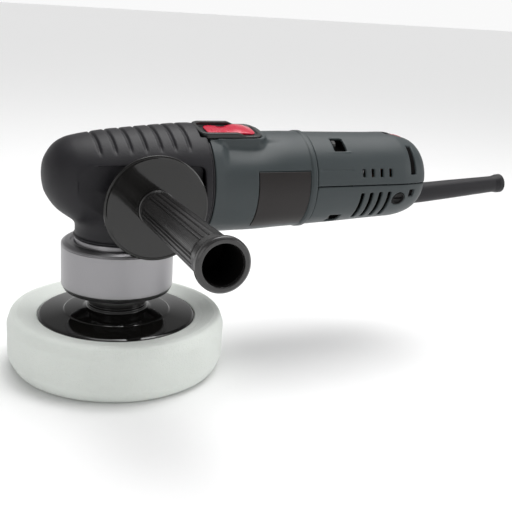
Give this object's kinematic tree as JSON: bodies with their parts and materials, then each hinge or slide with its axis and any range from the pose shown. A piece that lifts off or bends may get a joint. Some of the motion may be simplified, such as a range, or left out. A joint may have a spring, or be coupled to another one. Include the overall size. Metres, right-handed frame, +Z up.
{
  "type": "dual action polisher",
  "caption": "Right-angle dual action polisher with an orbiting foam pad, aluminium shroud, rubber-booted gear head, slide switch and screw-on side handle.",
  "frame": {"origin": "on the gear head's spindle axis, at the foam pad's flat working face", "axes": "+Z up along the spindle, +X along the motor towards the rear, -Y towards the side handle"},
  "size_m": [0.4012, 0.2371, 0.1719],
  "materials": {
    "foam": "open-cell foam, off-white with a faint green-grey tint",
    "loop_fabric": "woven hook-and-loop fabric",
    "gloss_black": "glossy moulded black",
    "steel": "machined steel",
    "cast_iron": "cast",
    "cast_aluminium": "satin, bead-blasted casting",
    "rubber": "matt overmoulded rubber",
    "grey_plastic": "dark grey-green, fine moulded texture",
    "panel_black": "plain dark panel with no mark",
    "black_plastic": "moulded black",
    "red_plastic": "glossy red",
    "black_steel": "black oxide",
    "carbon": "pressed carbon",
    "copper": "copper windings and bars",
    "circuit": "circuit board"
  },
  "bodies": {
    "housing": {"spindle_lower_bearing": "steel", "spindle_upper_bearing": "steel", "shroud": "cast_aluminium", "shroud_screw_1": "steel", "shroud_screw_2": "steel", "shroud_screw_3": "steel", "gear_case": "cast_aluminium", "gear_case_boot": "rubber", "front_bearing": "steel", "motor_housing": "grey_plastic", "side_panel_left": "panel_black", "side_panel_right": "panel_black", "fan_baffle": "black_plastic", "switch_bezel": "black_plastic", "switch_body": "black_plastic", "rear_cover_upper": "grey_plastic", "rear_cover_lower": "grey_plastic", "cover_screw_1": "black_steel", "cover_screw_2": "black_steel", "cover_screw_3": "black_steel", "cover_screw_4": "black_steel", "brush_holder_left": "black_plastic", "carbon_brush_left": "carbon", "brush_spring_left": "steel", "brush_cap_left": "black_plastic", "brush_holder_right": "black_plastic", "carbon_brush_right": "carbon", "brush_spring_right": "steel", "brush_cap_right": "black_plastic", "dial_axle": "steel", "control_board": "circuit", "rear_bearing": "steel", "cord_sleeve": "rubber", "field_stator": "steel", "field_winding_front": "copper", "field_winding_rear": "copper", "handle_guard": "gloss_black", "handle_grip": "gloss_black", "handle_stud": "steel"},
    "switch": {"switch_slider": "red_plastic", "switch_rod": "steel"},
    "dial": {"speed_dial": "red_plastic"},
    "armature": {"armature_core": "steel", "armature_shaft": "steel", "armature_winding_front": "copper", "armature_winding_rear": "copper", "commutator": "copper", "cooling_fan": "black_plastic", "bevel_pinion": "steel"},
    "spindle": {"spindle_shaft": "steel", "bevel_gear": "steel", "counterweight": "cast_iron", "pad_bearing": "steel"},
    "pad": {"pad_spindle": "steel", "pad_retaining_ring": "steel", "plate_stud": "steel", "backing_plate": "gloss_black", "hook_and_loop_disc": "loop_fabric", "foam_pad": "foam"}
  },
  "joints": [
    {"name": "switch_slide", "type": "slide", "parent": "housing", "child": "switch", "axis": [-1, 0, 0], "range_m": [0, 0.004]},
    {"name": "speed_dial_turn", "type": "hinge", "parent": "housing", "child": "dial", "pos_m": [0.2155, 0, 0.1525], "axis": [0, 1, 0], "range_deg": [0, 270]},
    {"name": "armature_spin", "type": "hinge", "parent": "housing", "child": "armature", "pos_m": [0.1, 0, 0.131], "axis": [1, 0, 0], "continuous": true},
    {"name": "spindle_spin", "type": "hinge", "parent": "housing", "child": "spindle", "pos_m": [0, 0, 0.1], "axis": [0, 0, 1], "continuous": true},
    {"name": "pad_spin", "type": "hinge", "parent": "spindle", "child": "pad", "pos_m": [-0.00083, -0.00391, 0.04], "axis": [0, 0, 1], "continuous": true}
  ],
  "couplings": [
    {"joint": "spindle_spin", "follows": "armature_spin", "ratio": 0.25}
  ]
}
